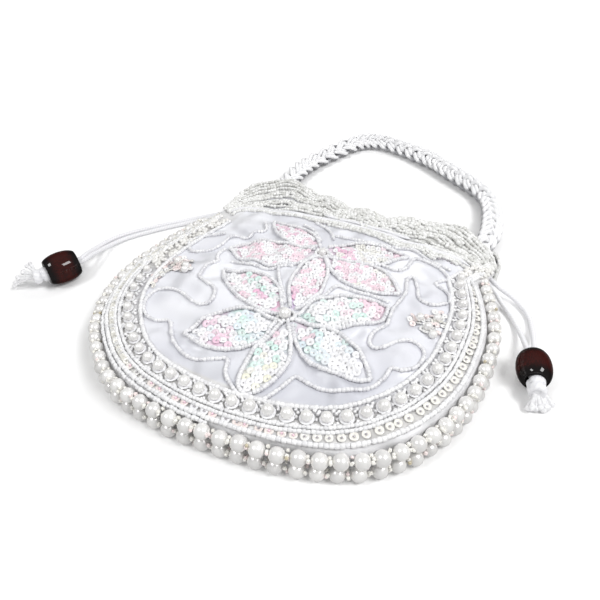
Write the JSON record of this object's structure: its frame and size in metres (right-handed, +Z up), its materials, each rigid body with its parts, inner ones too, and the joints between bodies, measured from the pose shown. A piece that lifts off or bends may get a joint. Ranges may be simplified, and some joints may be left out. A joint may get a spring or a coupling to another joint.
{
  "type": "drawstring wrist bag",
  "caption": "Round-bottomed drawstring wrist bag with pearl-edged satin panels, a ruffled mouth, a braided bead handle and toggled cords, lying on its back.",
  "frame": {"origin": "on the floor under the middle of the body's widest line, on the flat underside of the back panel", "axes": "+Y from the round bottom to the mouth and handle, +X to the right of the front as it faces up, +Z up, away from the floor"},
  "size_m": [0.252, 0.2718, 0.0186],
  "materials": {
    "front_satin": "white satin with beadwork",
    "back_satin": "plain white satin",
    "pearl": "glossy imitation pearl, cream white",
    "braided_beads": "white seed beads on thread, braided",
    "toggle_wood": "dark red lacquered wood",
    "cord_satin": "white satin cord"
  },
  "bodies": {
    "root": {"front_panel": "front_satin", "back_panel": "back_satin", "rim_pearls_front": "pearl", "rim_pearls_back": "pearl", "handle": "braided_beads", "left_toggle_bead": "toggle_wood", "right_toggle_bead": "toggle_wood", "left_knot": "cord_satin", "right_knot": "cord_satin", "left_cord_outer": "cord_satin", "left_cord_inner": "cord_satin", "right_cord_outer": "cord_satin", "right_cord_inner": "cord_satin"}
  },
  "joints": []
}
